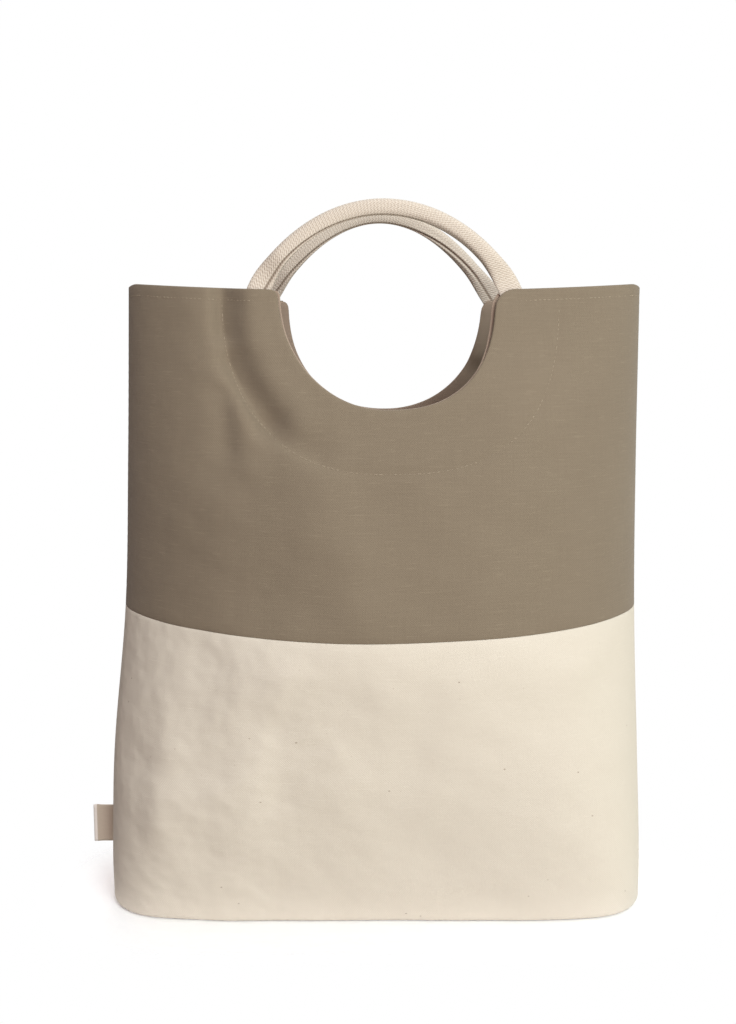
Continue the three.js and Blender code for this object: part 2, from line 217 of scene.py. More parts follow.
# %% [markdown]
# Now the form itself: a place on one side of the bag from u, which runs from -1 at the left seam to
# 1 at the right one, the height, and the depth below the outer face of the cloth. Near the floor the
# wall turns under with a small radius to meet the base seam. Seams pull the cloth in a little, which
# is what makes them readable: the colour split, the hem and the line that holds the facing.

# %% Places on the form
GAP = 0.3  # between panel and facing, as in the solids
CLOTH = 1.5  # thickness of a panel
SEAM_BITE = 0.06  # sewn edges press into each other by this much on each side
EDGE_ROLL = 4.0  # radius with which the walls turn under
TOP_HEIGHT = 428  # of the top edge at the side seams
TOP_DIP = {FRONT: 5, BACK: 14}  # how far it would dip in the middle, without the cut-out
TOP_LEVEL = np.array([float(TOP_HEIGHT)])
CORNER_REACH, CORNER_DROP = 0.045, 2.6  # share of the half width, mm: the hem sinks into the side seam
SPLIT_HEIGHT, SPLIT_DROOP = 209.3, 5  # of the colour split at the side seams, in the middle
SPLIT_PULL, SPLIT_REACH = 0.7, 3.2  # how far the split's seam draws the cloth in, and over what height
HEM_DROP = 7.4  # hem stitches below the top edge
HEM_PULL, LINE_PULL, LINE_REACH = 0.33, 0.55, 2.4  # the same for the hem's and the facing's stitches
LINE_FROM = 280  # the facing's stitches lie wholly above this height
LINE_STEPS = 60
FAR = 1e9

CUT_COLUMNS = ("centre", "half", "floor", "full_left", "full_right", "corner_left", "corner_right")
CUTS = {
    FRONT: dict(zip(CUT_COLUMNS, (5.8, 68.8, 349.5, 2.0, 2.5, 4, 11))),
    BACK: dict(zip(CUT_COLUMNS, (6.5, 70.5, 338.0, 2.2, 2.1, 3, 5))),
}
FACING_LINE = {  # stitches that hold the facing: the same kind of notch, larger
    FRONT: dict(zip(CUT_COLUMNS, (8.2, 107.5, 310.0, 2.37, 2.66, 0, 0))),
    BACK: dict(zip(CUT_COLUMNS, (6.5, 108.5, 299.0, 2.4, 2.4, 0, 0))),
}


def top_edge(side, u):
    corner = np.maximum(0, 1 - (1 - np.abs(u)) / CORNER_REACH)
    return TOP_HEIGHT - TOP_DIP[side] * (1 - u * u) - CORNER_DROP * corner**2


def split_line(u):
    return SPLIT_HEIGHT - SPLIT_DROOP * (1 - u * u)


def notch(side, shape, steps):
    """x and z along a notch in the top edge, from its left top corner to its right one."""
    brim = TOP_HEIGHT - TOP_DIP[side]
    turn = np.linspace(0, math.pi, steps)
    full = np.where(turn < math.pi / 2, shape["full_left"], shape["full_right"])
    x = shape["centre"] - np.sign(np.cos(turn)) * np.abs(np.cos(turn)) ** (2 / full) * shape["half"]
    z = brim - np.sin(turn) ** (2 / full) * (brim - shape["floor"])
    return x, z


def line_away(x, z, path_x, path_z):
    """Distance of many places to a line of points."""
    gap = np.full(x.shape, FAR)
    for k in range(len(path_x) - 1):
        dx, dz = path_x[k + 1] - path_x[k], path_z[k + 1] - path_z[k]
        along = np.clip(((x - path_x[k]) * dx + (z - path_z[k]) * dz) / (dx * dx + dz * dz + 1e-9), 0, 1)
        gap = np.minimum(gap, np.hypot(x - path_x[k] - along * dx, z - path_z[k] - along * dz))
    return gap


LINE_PATH = {side: notch(side, FACING_LINE[side], LINE_STEPS) for side in (FRONT, BACK)}


def place(side, u, z, depth, sewn=True):
    """Places in mm; depth is counted inwards from the outer face."""
    below = np.maximum(EDGE_ROLL - z, 0)
    turn_under = EDGE_ROLL - np.sqrt(np.maximum(EDGE_ROLL**2 - below**2, 0))
    half = column("half", z) - depth - turn_under
    deep = column("front" if side == FRONT else "back", z) - depth - turn_under
    bow = np.maximum(0, 1 - np.abs(u) ** column("crown", z)) ** column("pinch", z)
    x = column("shift", z) + half * u
    out = fold_out(side, x, z)
    if sewn:
        out = out - SPLIT_PULL * np.exp(-(((z - split_line(u)) / SPLIT_REACH) ** 2))
        hem = top_edge(side, u) - HEM_DROP
        out = out - HEM_PULL * np.exp(-(((z - hem) / LINE_REACH) ** 2))
        high = z > LINE_FROM
        if np.any(high):
            away = np.full(z.shape, FAR)
            away[high] = line_away(x[high], z[high], *LINE_PATH[side])
            out = out - LINE_PULL * np.exp(-((away / LINE_REACH) ** 2))
    y = side * (deep * bow + out * ease(0, 0.5, bow) - SEAM_BITE)
    return np.stack([x, y, z], -1)


print("mouth %.0f mm wide" % (2 * column("half", TOP_LEVEL)[0]))

# %% [markdown]
# A panel is cut flat. To wrap it without stretching the weave, the way round the bag is measured
# once for every height, and a flat width is turned into u with that table. The table also gives each
# piece its cloth coordinates in metres, which the woven finishes read, so that threads run level
# round the bag and upright on it.

# %% Way round the bag
LEVEL_STEP = 4.0
LEVELS = np.arange(0, 441, LEVEL_STEP)
TURNS = np.linspace(-1, 1, 481)
SHORT_OF_END = 1.001  # keeps a look-up just inside the last cell of a table
FLAT_HALF = 208.0  # half the flat width that the cutting table is drawn with


def measure(side):
    """For every level: the share of the way at each turn, the turn at each share, half the way."""
    share, length = [], []
    for level in LEVELS:
        ring = place(side, np.sin(TURNS * math.pi / 2), np.full(TURNS.shape, level), 0.0, sewn=False)
        way = np.concatenate([[0], np.cumsum(np.linalg.norm(np.diff(ring, axis=0), axis=1))])
        share.append(2 * way / way[-1] - 1)
        length.append(way[-1] / 2)
    back = [np.interp(TURNS, row, TURNS) for row in share]
    return {"share": np.array(share), "turn": np.array(back), "length": np.array(length)}


ROUND = {side: measure(side) for side in (FRONT, BACK)}


def look_up(table, across, z):
    """A table over share or turn (columns) and height (rows), in between by straight lines."""
    col = np.clip((across + 1) / 2 * (len(TURNS) - 1), 0, len(TURNS) - SHORT_OF_END)
    row = np.clip(z / LEVEL_STEP, 0, len(LEVELS) - SHORT_OF_END)
    c, r = col.astype(int), row.astype(int)
    fc, fr = col - c, row - r
    low = table[r, c] * (1 - fc) + table[r, c + 1] * fc
    return low * (1 - fr) + (table[r + 1, c] * (1 - fc) + table[r + 1, c + 1] * fc) * fr


def u_of_share(side, share, z):
    return np.sin(look_up(ROUND[side]["turn"], share, z) * math.pi / 2)


def share_of_x(side, x, z):
    u = np.clip((x - column("shift", z)) / column("half", z), -1, 1)
    return look_up(ROUND[side]["share"], np.arcsin(u) * 2 / math.pi, z)


for side, name in ((FRONT, "front"), (BACK, "back")):
    halves = np.interp((0, SPLIT_HEIGHT, TOP_HEIGHT), LEVELS, ROUND[side]["length"])
    print(name, "half the way in mm: base %.0f, split %.0f, top %.0f" % tuple(halves))

# %% [markdown]
# Cutting and wrapping. The outline of a piece is drawn flat, filled with evenly spaced points and
# joined into triangles by a constrained Delaunay triangulation, which keeps the cut edge exact; a
# grid with a hole cut by a boolean would leave a ragged rim there. The flat piece is then laid on the
# form twice, once for each face of the cloth, and the two faces are joined by a rounded edge like
# that of a turned hem.

# %% Cutting table
EDGE_STEP = 2.6  # between points along a cut edge
GRID_STEP = 3.6  # between points inside a piece
GRID_ROW = GRID_STEP * 0.866  # between their rows, which makes even triangles
GRID_CLEAR = 0.62 * GRID_STEP  # inner points closer to an edge or a drawn line are left out
GRID_BATCH = 2000  # inner points that are measured at a time
CORNER_LEAN = 0.6  # keeps a sharp corner from moving in too far


def resample(points, step):
    """A line of points with an even step."""
    points = np.asarray(points, float)
    way = np.concatenate([[0], np.cumsum(np.linalg.norm(np.diff(points, axis=0), axis=1))])
    count = max(2, int(round(way[-1] / step)) + 1)
    marks = np.linspace(0, way[-1], count)
    return np.stack([np.interp(marks, way, points[:, k]) for k in range(points.shape[1])], -1)


def closed_outline(*runs):
    """Runs of points, each resampled, joined into one loop."""
    return np.concatenate([resample(run, EDGE_STEP)[:-1] for run in runs])


def drawn_in(loop, distance):
    """A loop moved inwards; the loop runs anticlockwise."""
    ahead = np.roll(loop, -1, 0) - loop
    behind = loop - np.roll(loop, 1, 0)
    ahead /= np.linalg.norm(ahead, axis=1, keepdims=True)
    behind /= np.linalg.norm(behind, axis=1, keepdims=True)
    way = ahead + behind
    way /= np.maximum(np.linalg.norm(way, axis=1, keepdims=True), 1e-6)
    inward = np.stack([-way[:, 1], way[:, 0]], -1)
    lean = np.maximum(np.abs(np.sum(way * ahead, axis=1, keepdims=True)), CORNER_LEAN)
    return loop + inward * distance / lean


def triangulate(loop, extra=()):
    """Flat triangles inside a loop: points, faces, and where each loop point went."""
    low, high = loop.min(0), loop.max(0)
    rows = []
    for k, z in enumerate(np.arange(low[1] + GRID_STEP / 2, high[1], GRID_ROW)):
        start = low[0] + GRID_STEP * (0.5 if k % 2 else 0.0)
        rows.append(np.array([(x, z) for x in np.arange(start, high[0], GRID_STEP)]))
    inner = np.concatenate(rows)
    walls = [loop] + [np.asarray(line) for line in extra]
    for wall in walls:
        for part in np.array_split(np.arange(len(inner)), max(1, len(inner) // GRID_BATCH)):
            gap = np.linalg.norm(inner[part, None] - wall[None], axis=2).min(1)
            inner[part[gap < GRID_CLEAR]] = np.nan
        inner = inner[~np.isnan(inner[:, 0])]
    points = np.concatenate(walls + [inner])
    count = len(loop)
    edges = [(k, (k + 1) % count) for k in range(count)]
    flat, _, faces, source, _, _ = delaunay_2d_cdt([Vector(p) for p in points], edges, [], 1, 1e-6)
    where = {old: new for new, olds in enumerate(source) for old in olds}
    return np.array([tuple(p) for p in flat]), [tuple(f) for f in faces], [where[k] for k in range(count)]


print("cutting step %.1f mm" % GRID_STEP)

# %% Wrapping
RIM = ((0.3, 0.3), (0.0, 1.0), (0.3, 1.7))  # across the rounded edge: distance in, depth, in half cloths


def add_piece(name, verts, faces, cloth_uv=None):
    """A mesh object at the origin with its places in metres."""
    mesh = bpy.data.meshes.new(name)
    mesh.from_pydata([tuple(v) for v in verts], [], [tuple(f) for f in faces])
    mesh.validate()
    if cloth_uv is not None:
        layer = mesh.uv_layers.new(name="cloth")
        corner = np.empty(len(mesh.loops), int)
        mesh.loops.foreach_get("vertex_index", corner)
        layer.data.foreach_set("uv", np.asarray(cloth_uv, np.float32)[corner].ravel())
    mesh.polygons.foreach_set("use_smooth", [True] * len(mesh.polygons))
    mesh.update()
    piece = bpy.data.objects.new(name, mesh)
    bpy.context.collection.objects.link(piece)
    return piece


def wrap(name, side, loop, lay, thick, start=0.0, extra=()):
    """Cuts a loop of the cutting table, lays it on the form and gives it its thickness."""
    half = thick / 2
    flat, triangles, rim = triangulate(drawn_in(loop, half), extra)
    outer = lay(flat, start)
    inner = lay(flat, start + thick)
    rings = [lay(drawn_in(loop, inward * half), start + deep * half) for inward, deep in RIM]
    rings_flat = [drawn_in(loop, inward * half) for inward, _ in RIM]
    count, total = len(loop), len(flat)
    verts = np.concatenate([outer, inner] + rings) * MM
    uv = np.concatenate([flat, flat] + rings_flat) * MM
    faces = triangles + [(a + total, c + total, b + total) for a, b, c in triangles]
    ring_at = [2 * total + k * count for k in range(len(rings))]
    chain = [rim] + [[first + k for k in range(count)] for first in ring_at] + [[r + total for r in rim]]
    for near, far in zip(chain, chain[1:]):
        for k in range(count):
            n = (k + 1) % count
            faces.append((near[n], near[k], far[k], far[n]))
    if side == BACK:
        faces = [tuple(reversed(face)) for face in faces]
    return add_piece(name, verts, faces, uv)


def lay_panel(side):
    """The way from flat places on the cutting table to one side of the bag."""
    def lay(flat, depth):
        share, z = flat[:, 0] / FLAT_HALF, flat[:, 1]
        return place(side, u_of_share(side, np.clip(share, -1, 1), z), z, depth)

    return lay


def cloth_area(piece):
    """The area of one face of a piece of cloth."""
    return sum(face.area for face in piece.data.polygons) / 2


def tell(piece):
    print(piece.name, len(piece.data.polygons), "faces, area %.4f m2" % cloth_area(piece))


print("points across a rounded edge:", len(RIM))

# %% [markdown]
# The natural panels below the split. Each is one piece of unbleached canvas from side seam to side
# seam, from the base seam up to the split. The real seams are turned inwards, so each panel simply
# ends in a soft rounded edge that presses against its neighbour's and lets no light through.

# %% Lower panels
BASE_LIFT = 0.2  # lower edge of the walls above the floor
SEAM_SHARE = np.linspace(-1, 1, 121)
BASE_ROWS = (2.0, 3.4, 5.2)  # heights of extra points, where the wall turns under
SPLIT_ROWS = (2.6, 5.0)  # distances of extra points from the split, where its seam draws the cloth in


def flat_split(side, lift):
    z = split_line(u_of_share(side, SEAM_SHARE, np.full(SEAM_SHARE.shape, SPLIT_HEIGHT))) + lift
    return np.stack([SEAM_SHARE * FLAT_HALF, z], -1)


def flat_lower(side):
    top = flat_split(side, SEAM_BITE)[::-1]
    low = np.array([(-FLAT_HALF, BASE_LIFT), (FLAT_HALF, BASE_LIFT)])
    return closed_outline(low, [low[1], top[0]], top, [top[-1], low[0]])


def base_rows():
    x = np.arange(-FLAT_HALF + 2, FLAT_HALF - 1, EDGE_STEP)
    return [np.stack([x, np.full(x.shape, z)], -1) for z in BASE_ROWS]


def split_rows(side, up):
    """Extra points above the split, or below it where up is -1, clear of the side seams."""
    return [flat_split(side, up * away)[2:-2] for away in SPLIT_ROWS]


lower = {}
for side, name in ((FRONT, "lower_front_canvas"), (BACK, "lower_back_canvas")):
    rows = base_rows() + split_rows(side, -1)
    lower[side] = wrap(name, side, flat_lower(side), lay_panel(side), CLOTH, extra=rows)
    tell(lower[side])

# %% [markdown]
# The darker panels above it. Their outline takes in the hand cut-out, with one crisp and one softer
# corner on the front. Rows of extra points follow the line that holds the facing, so the shallow
# channel that its stitches pull is really in the mesh.

# %% Upper panels
CORNER_STEPS, NOTCH_STEPS, BRIM_STEPS = 8, 121, 60
CUT_CLEAR = 0.8  # the notch starts this far below its rounded corners
LINE_TRIM = 5.0  # the facing's stitches end this far below the top edge
LINE_OFFSETS = (-3.2, -1.5, 0.0, 1.5, 3.2)  # rows of extra points beside them


def flat_points(side, x, z):
    return np.stack([share_of_x(side, x, z) * FLAT_HALF, z], -1)


def brim_run(side, x0, x1):
    """The top edge between two places, in x and z."""
    x = np.linspace(x0, x1, BRIM_STEPS)
    z = np.full(x.shape, float(TOP_HEIGHT))
    for _ in range(3):  # the height depends on u and u on the height; three rounds settle both
        u = np.clip((x - column("shift", z)) / column("half", z), -1, 1)
        z = top_edge(side, u)
    return np.stack([x, z], -1)


def cut_run(side):
    """The cut-out from its right end to its left one, with its rounded corners, in x and z."""
    shape = CUTS[side]
    brim = TOP_HEIGHT - TOP_DIP[side]
    x, z = notch(side, shape, NOTCH_STEPS)
    ends = []
    for sign, radius in ((-1, shape["corner_left"]), (1, shape["corner_right"])):
        turn = np.linspace(0, math.pi / 2, CORNER_STEPS)
        corner_x = shape["centre"] + sign * (shape["half"] + radius * (1 - np.cos(turn)))
        corner_z = brim - radius * (1 - np.sin(turn))
        lift = brim_run(side, corner_x[-1], corner_x[-1] + sign)[0, 1] - brim
        ends.append(np.stack([corner_x, corner_z + lift * (turn / turn[-1]) ** 2], -1))
    left, right = ends
    corner_low = np.where(x < shape["centre"], left[0, 1], right[0, 1])
    middle = np.stack([x, z], -1)[z < corner_low - CUT_CLEAR]
    return np.concatenate([left[::-1], middle, right])[::-1]


def flat_upper(side):
    low = flat_split(side, -SEAM_BITE)
    cut = cut_run(side)
    half, shift = column("half", TOP_LEVEL)[0], column("shift", TOP_LEVEL)[0]
    right = brim_run(side, shift + half, cut[0, 0])
    left = brim_run(side, cut[-1, 0], shift - half)
    right, cut, left = [flat_points(side, run[:, 0], run[:, 1]) for run in (right, cut, left)]
    right[0, 0], left[-1, 0] = FLAT_HALF, -FLAT_HALF
    return closed_outline(low, [low[-1], right[0]], right, cut, left, [left[-1], low[0]])


def beside(path, offsets):
    """Lines of points beside a flat path."""
    path = resample(path, EDGE_STEP)
    way = np.gradient(path, axis=0)
    way /= np.linalg.norm(way, axis=1, keepdims=True)
    across = np.stack([-way[:, 1], way[:, 0]], -1)
    return [path + across * offset for offset in offsets]


def facing_path(side):
    """The facing's stitch line, flat, starting just under the top edge."""
    x, z = LINE_PATH[side]
    path = flat_points(side, x, z)
    return path[z < TOP_HEIGHT - TOP_DIP[side] - LINE_TRIM]


upper = {}
for side, name in ((FRONT, "upper_front_canvas"), (BACK, "upper_back_canvas")):
    rows = beside(facing_path(side), LINE_OFFSETS) + split_rows(side, 1)
    upper[side] = wrap(name, side, flat_upper(side), lay_panel(side), CLOTH, extra=rows)
    tell(upper[side])

# %% [markdown]
# A facing is a band of the same cloth inside each cut-out. It stiffens the edge where the hand goes
# and hides the ends of the handle, so it stands off the panel there. From outside only its stitches
# and the turned edge show; from above its whole inner face can be seen.

# %% Facings
FACING_CLOTH = 1.3
FACING_WIDTH = 47.0
FACING_DROP = 0.8  # its top edge below that of the panel
HANDLE_COLUMNS = ("centre", "half", "spring", "rise", "slope", "bow", "splay", "lean")
HANDLES = {
    FRONT: dict(zip(HANDLE_COLUMNS, (3.4, 84.9, 409.9, 64.9, 0.67, 3.0, 0.1, 2.4))),
    BACK: dict(zip(HANDLE_COLUMNS, (2.4, 85.2, 409.0, 66.4, 0.95, 2.0, 0.5, 0.0))),
}
STRAP_TAIL, STRAP_FLAT, STRAP_GAP = 16.0, 2.4, 0.8  # sewn-in length, thickness there, room on each side
ROOM_BESIDE, ROOM_FADE, ROOM_BELOW = 12.0, 14.0, 14.0  # where the facing stands off for it


def strap_room(side, x, z):
    """How far the facing stands off for the pressed ends of the handle."""
    size = HANDLES[side]
    aside = np.abs(np.abs(x - size["centre"]) - size["half"])
    under = size["spring"] - STRAP_TAIL - z
    room = STRAP_FLAT + 2 * STRAP_GAP - GAP
    near = 1 - ease(ROOM_BESIDE, ROOM_BESIDE + ROOM_FADE, aside)
    return room * near * (1 - ease(ROOM_BELOW, ROOM_BELOW + ROOM_FADE, under))


def lay_facing(side):
    """As lay_panel, with room for the handle between panel and facing."""
    def lay(flat, depth):
        z = flat[:, 1]
        u = u_of_share(side, np.clip(flat[:, 0] / FLAT_HALF, -1, 1), z)
        x = place(side, u, z, depth)[:, 0]
        return place(side, u, z, depth + strap_room(side, x, z))

    return lay


def flat_facing(side):
    cut = cut_run(side)[::-1]
    shape = dict(CUTS[side])
    shape["half"] += FACING_WIDTH
    shape["floor"] -= FACING_WIDTH
    outer = np.stack(notch(side, shape, NOTCH_STEPS), -1)
    left = brim_run(side, outer[0, 0], cut[0, 0])
    right = brim_run(side, cut[-1, 0], outer[-1, 0])
    left[:, 1] -= FACING_DROP
    right[:, 1] -= FACING_DROP
    outer[0], outer[-1] = left[0], right[-1]
    runs = (outer, right[::-1], cut[::-1], left[::-1])
    return closed_outline(*[flat_points(side, run[:, 0], run[:, 1]) for run in runs])


facings = {}
for side, name in ((FRONT, "facing_front_canvas"), (BACK, "facing_back_canvas")):
    facings[side] = wrap(name, side, flat_facing(side), lay_facing(side), FACING_CLOTH, start=CLOTH + GAP)
    tell(facings[side])

# %% [markdown]
# The base is a single piece of natural canvas inside the turned-under walls. It lies flat on the
# floor, has a rounded edge and reaches into the turned-under cloth, so that its seam lets no light
# through.

# %% Base
BASE_CLOTH = 1.6
BASE_TUCK = 0.2  # its edge below the outer face of the walls, so that it meets the turned-under cloth
BASE_STEPS = 90


def flat_base():
    turns = np.sin(np.linspace(-1, 1, BASE_STEPS) * math.pi / 2)
    level = np.full(BASE_STEPS, BASE_LIFT)
    front = place(FRONT, turns, level, BASE_TUCK, sewn=False)[:-1, :2]
    back = place(BACK, turns, level, BASE_TUCK, sewn=False)[::-1][:-1, :2]
    return closed_outline(np.concatenate([front, back, front[:1]]))


def lay_base(flat, depth):
    return np.column_stack([flat, np.full(len(flat), BASE_CLOTH - depth)])


base = wrap("base_canvas", FRONT, flat_base(), lay_base, BASE_CLOTH)
tell(base)

# %% [markdown]
# A handle is webbing folded round a cord and sewn shut along one side. Its ends are pressed flat and
# sewn in between panel and facing; above the edge it swells to a roll, flat side forward at the ends
# and turned by a quarter at the crown, as a stiff tape does when it is bent into an arch. It is lofted
# ring by ring. The sewn side shows as a narrow channel that winds from the front of the left leg to
# the underside of the crown and on down the right leg, so the ring is a rounded oblong with a notch
# and a lip on each side of it.

# %% Handle paths
STRAP_WIDE = 14.4  # where the ends are pressed flat
ROLL_ACROSS = (14.0, 10.0)  # width of the roll at the ends, at the crown
ROLL_THROUGH = (9.5, 13.5)  # its thickness from front to back, in the same way
ROLL_TURNED = 0.9  # sine of the turn round the arch by which the roll has its shape of the crown
ROLL_RADIUS = 6.0  # about that of the roll, for the way round it on the cloth
PRESS_START, PRESS_HEIGHT = 1.0, 20.0  # above the top edge: where the roll begins to swell, and over what
LEAN_FALL = 0.6  # the left leg's lean fades towards the crown
ARCH_STEPS = 1501
ROLL_SIDES = 96
ROLL_STEP = 1.1  # between rings
ROLL_SQUARE = 3.1  # 2 is an oval, more is a rounded oblong
SMOOTH_ROUNDS = 12  # take the kink out of the path where the arch meets its straight ends
SEAM_ANGLES = {FRONT: (-68, -24, 8), BACK: (-80, -26, -82)}  # degrees: left end, crown, right end
SEAM_WINDS = (0.0, 0.5 * math.pi), (0.52 * math.pi, 0.8 * math.pi)  # turns over which the channel winds
SEAM_DEEP, SEAM_WIDE = 0.26, 0.11  # share of the radius, radians
LIP_HIGH, LIP_AWAY, LIP_WIDE = 0.06, 2.6 * SEAM_WIDE, 1.4 * SEAM_WIDE
SEAM_PRESSED = 0.5  # how much of the channel is left where the end is pressed flat


def brim_at(side, x):
    """The top edge's height at a place across the bag."""
    return top_edge(side, (x - column("shift", TOP_LEVEL)[0]) / column("half", TOP_LEVEL)[0])


def handle_path(side):
    """x, z, the turn round the arch and the way along it for every ring."""
    size = HANDLES[side]
    turn = np.linspace(0, math.pi, ARCH_STEPS)
    x = size["centre"] - np.cos(turn) * size["half"]
    x = x + size["lean"] * np.maximum(np.cos(turn), 0) ** LEAN_FALL
    z = size["spring"] + size["rise"] * np.sin(turn) ** (2 * size["slope"])
    aside, low = size["splay"] * STRAP_TAIL, size["spring"] - STRAP_TAIL
    x = np.concatenate([[x[0] - aside], x, [x[-1] + aside]])
    z = np.concatenate([[low], z, [low]])
    turn = np.concatenate([[0], turn, [math.pi]])
    way = np.concatenate([[0], np.cumsum(np.hypot(np.diff(x), np.diff(z)))])
    marks = np.linspace(0, way[-1], int(way[-1] / ROLL_STEP))
    return [np.interp(marks, way, run) for run in (x, z, turn)] + [marks]


def wall_y(side, x, z, depth):
    u = np.clip((x - column("shift", z)) / (column("half", z) - depth), -1, 1)
    return place(side, u, z, depth, sewn=False)[..., 1]


def blend(pair, f):
    return pair[0] + (pair[1] - pair[0]) * f


def seam_angle(side, turn):
    """Where round the roll its channel lies."""
    left, crown, right = np.radians(SEAM_ANGLES[side])
    first, second = [ease(*winds, turn) for winds in SEAM_WINDS]
    return left + (crown - left) * first + (right - crown) * second


print("rings along a handle:", [len(handle_path(side)[0]) for side in (FRONT, BACK)])


# %% Handle rolls
def roll_rings(side):
    """The rings of a roll, how far round each spoke is from the channel, and the way along."""
    size = HANDLES[side]
    x, z, turn, along = handle_path(side)
    way = np.gradient(np.stack([x, z], -1), axis=0)
    for _ in range(SMOOTH_ROUNDS):
        way[1:-1] = (way[:-2] + 2 * way[1:-1] + way[2:]) / 4
    way /= np.linalg.norm(way, axis=1, keepdims=True)
    reach = size["half"] + STRAP_WIDE / 2
    brim = max(brim_at(side, size["centre"] + end * reach) for end in (-1, 1))
    mid = CLOTH + STRAP_GAP + STRAP_FLAT / 2
    high = ease(0, ROLL_TURNED, np.sin(turn))
    free = ease(brim + PRESS_START, brim + PRESS_START + PRESS_HEIGHT, z)
    wide = blend((STRAP_WIDE, blend(ROLL_ACROSS, high)), free)[:, None]
    thick = blend((STRAP_FLAT, blend(ROLL_THROUGH, high)), free)[:, None]
    feet = size["centre"] + size["half"] * np.array([-1.0, 1.0])
    plane = blend(wall_y(side, feet, np.full(2, brim), mid), turn / math.pi)
    plane = plane + side * size["bow"] * np.sin(turn)
    angle = np.linspace(0, 2 * math.pi, ROLL_SIDES, endpoint=False)[None, :]
    off = (angle - seam_angle(side, turn)[:, None] + math.pi) % (2 * math.pi) - math.pi
    notch_in = SEAM_DEEP * np.exp(-((off / SEAM_WIDE) ** 2))
    lip = LIP_HIGH * np.exp(-(((np.abs(off) - LIP_AWAY) / LIP_WIDE) ** 2))
    cos, sin = np.cos(angle), np.sin(angle)
    square = (np.abs(cos) ** ROLL_SQUARE + np.abs(sin) ** ROLL_SQUARE) ** (-1 / ROLL_SQUARE)
    swell = square * (1 + (lip - notch_in) * np.maximum(free, SEAM_PRESSED)[:, None])
    e, through = cos * wide / 2 * swell, sin * thick / 2 * swell
    ring_x, ring_z = x[:, None] + e * way[:, 1:2], z[:, None] - e * way[:, 0:1]
    sewn_y = wall_y(side, ring_x, np.repeat(z[:, None], ROLL_SIDES, 1), mid)
    ring_y = blend((sewn_y, plane[:, None]), free[:, None]) + through
    return np.stack([ring_x, ring_y, ring_z], -1), off, along


def roll_handle(name, side):
    rings, off, along = roll_rings(side)
    faces, uv = [], []
    for k in range(len(rings) - 1):
        for s in range(ROLL_SIDES):
            n = (s + 1) % ROLL_SIDES
            quad = ((k, s), (k, n), (k + 1, n), (k + 1, s))
            faces.append(tuple(ring * ROLL_SIDES + spoke for ring, spoke in quad))
            start = off[k, s]
            for ring, spoke in quad:
                turned = (off[ring, spoke] - start + math.pi) % (2 * math.pi) - math.pi + start
                uv.append((turned * ROLL_RADIUS * MM, along[ring] * MM))
    for ring, flip in ((0, True), (len(rings) - 1, False)):
        cap = tuple(ring * ROLL_SIDES + s for s in range(ROLL_SIDES))
        faces.append(cap[::-1] if flip else cap)
        uv += [(0.0, along[ring] * MM)] * ROLL_SIDES
    piece = add_piece(name, rings.reshape(-1, 3) * MM, faces)
    piece.data.uv_layers.new(name="cloth").data.foreach_set("uv", np.array(uv, np.float32).ravel())
    return piece, along[-1]


handles = {}
for side, name in ((FRONT, "handle_front_webbing"), (BACK, "handle_back_webbing")):
    handles[side], webbing_length = roll_handle(name, side)
    print(name, len(handles[side].data.polygons), "faces, %.0f mm of webbing" % webbing_length)

# %% [markdown]
# The tab in the left seam is a short tape folded in two. Both leaves come out of the seam together,
# lie close for most of the way and open into a small round fold at the outer end.

# %% Side tab
TAB_LOW, TAB_TALL, TAB_REACH = 35.0, 26.5, 15.0
TAB_LEAF, TAB_FOLD = 0.75, 1.45  # thickness of a leaf, outer radius of the fold
TAB_PARTED = 0.06  # half the gap between the leaves
TAB_OPENS = (0.62, 0.97)  # shares of a leaf between which it opens into the fold
FOLD_STEPS, LEAF_STEPS, TAB_ROWS = 13, 14, 18
TAB_BEND = 0.25  # the leaves bow to the back by this much at most


def tab_profile():
    """The tape's middle line in x and y, from one leaf round the fold to the other."""
    wall = float(np.max(-place(FRONT, np.array([-1.0]), np.array([TAB_LOW + TAB_TALL / 2]), 0.0)[:, 0]))
    near, far = -wall - GAP, -wall - GAP - TAB_REACH
    radius = TAB_FOLD - TAB_LEAF / 2
    neck = TAB_LEAF / 2 + TAB_PARTED
    turn = np.linspace(-math.pi / 2, math.pi / 2, FOLD_STEPS)
    fold = np.stack([far + TAB_FOLD - radius * np.cos(turn), radius * np.sin(turn)], -1)
    leaf = np.linspace(0, 1, LEAF_STEPS)[1:]
    open_y = neck + (radius - neck) * ease(*TAB_OPENS, leaf)
    run = near + (far + TAB_FOLD - near) * leaf
    lower_leaf = np.stack([run, -open_y], -1)
    upper_leaf = np.stack([run[::-1], open_y[::-1]], -1)
    return np.concatenate([[[near, -neck]], lower_leaf[:-1], fold, upper_leaf[1:], [[near, neck]]])


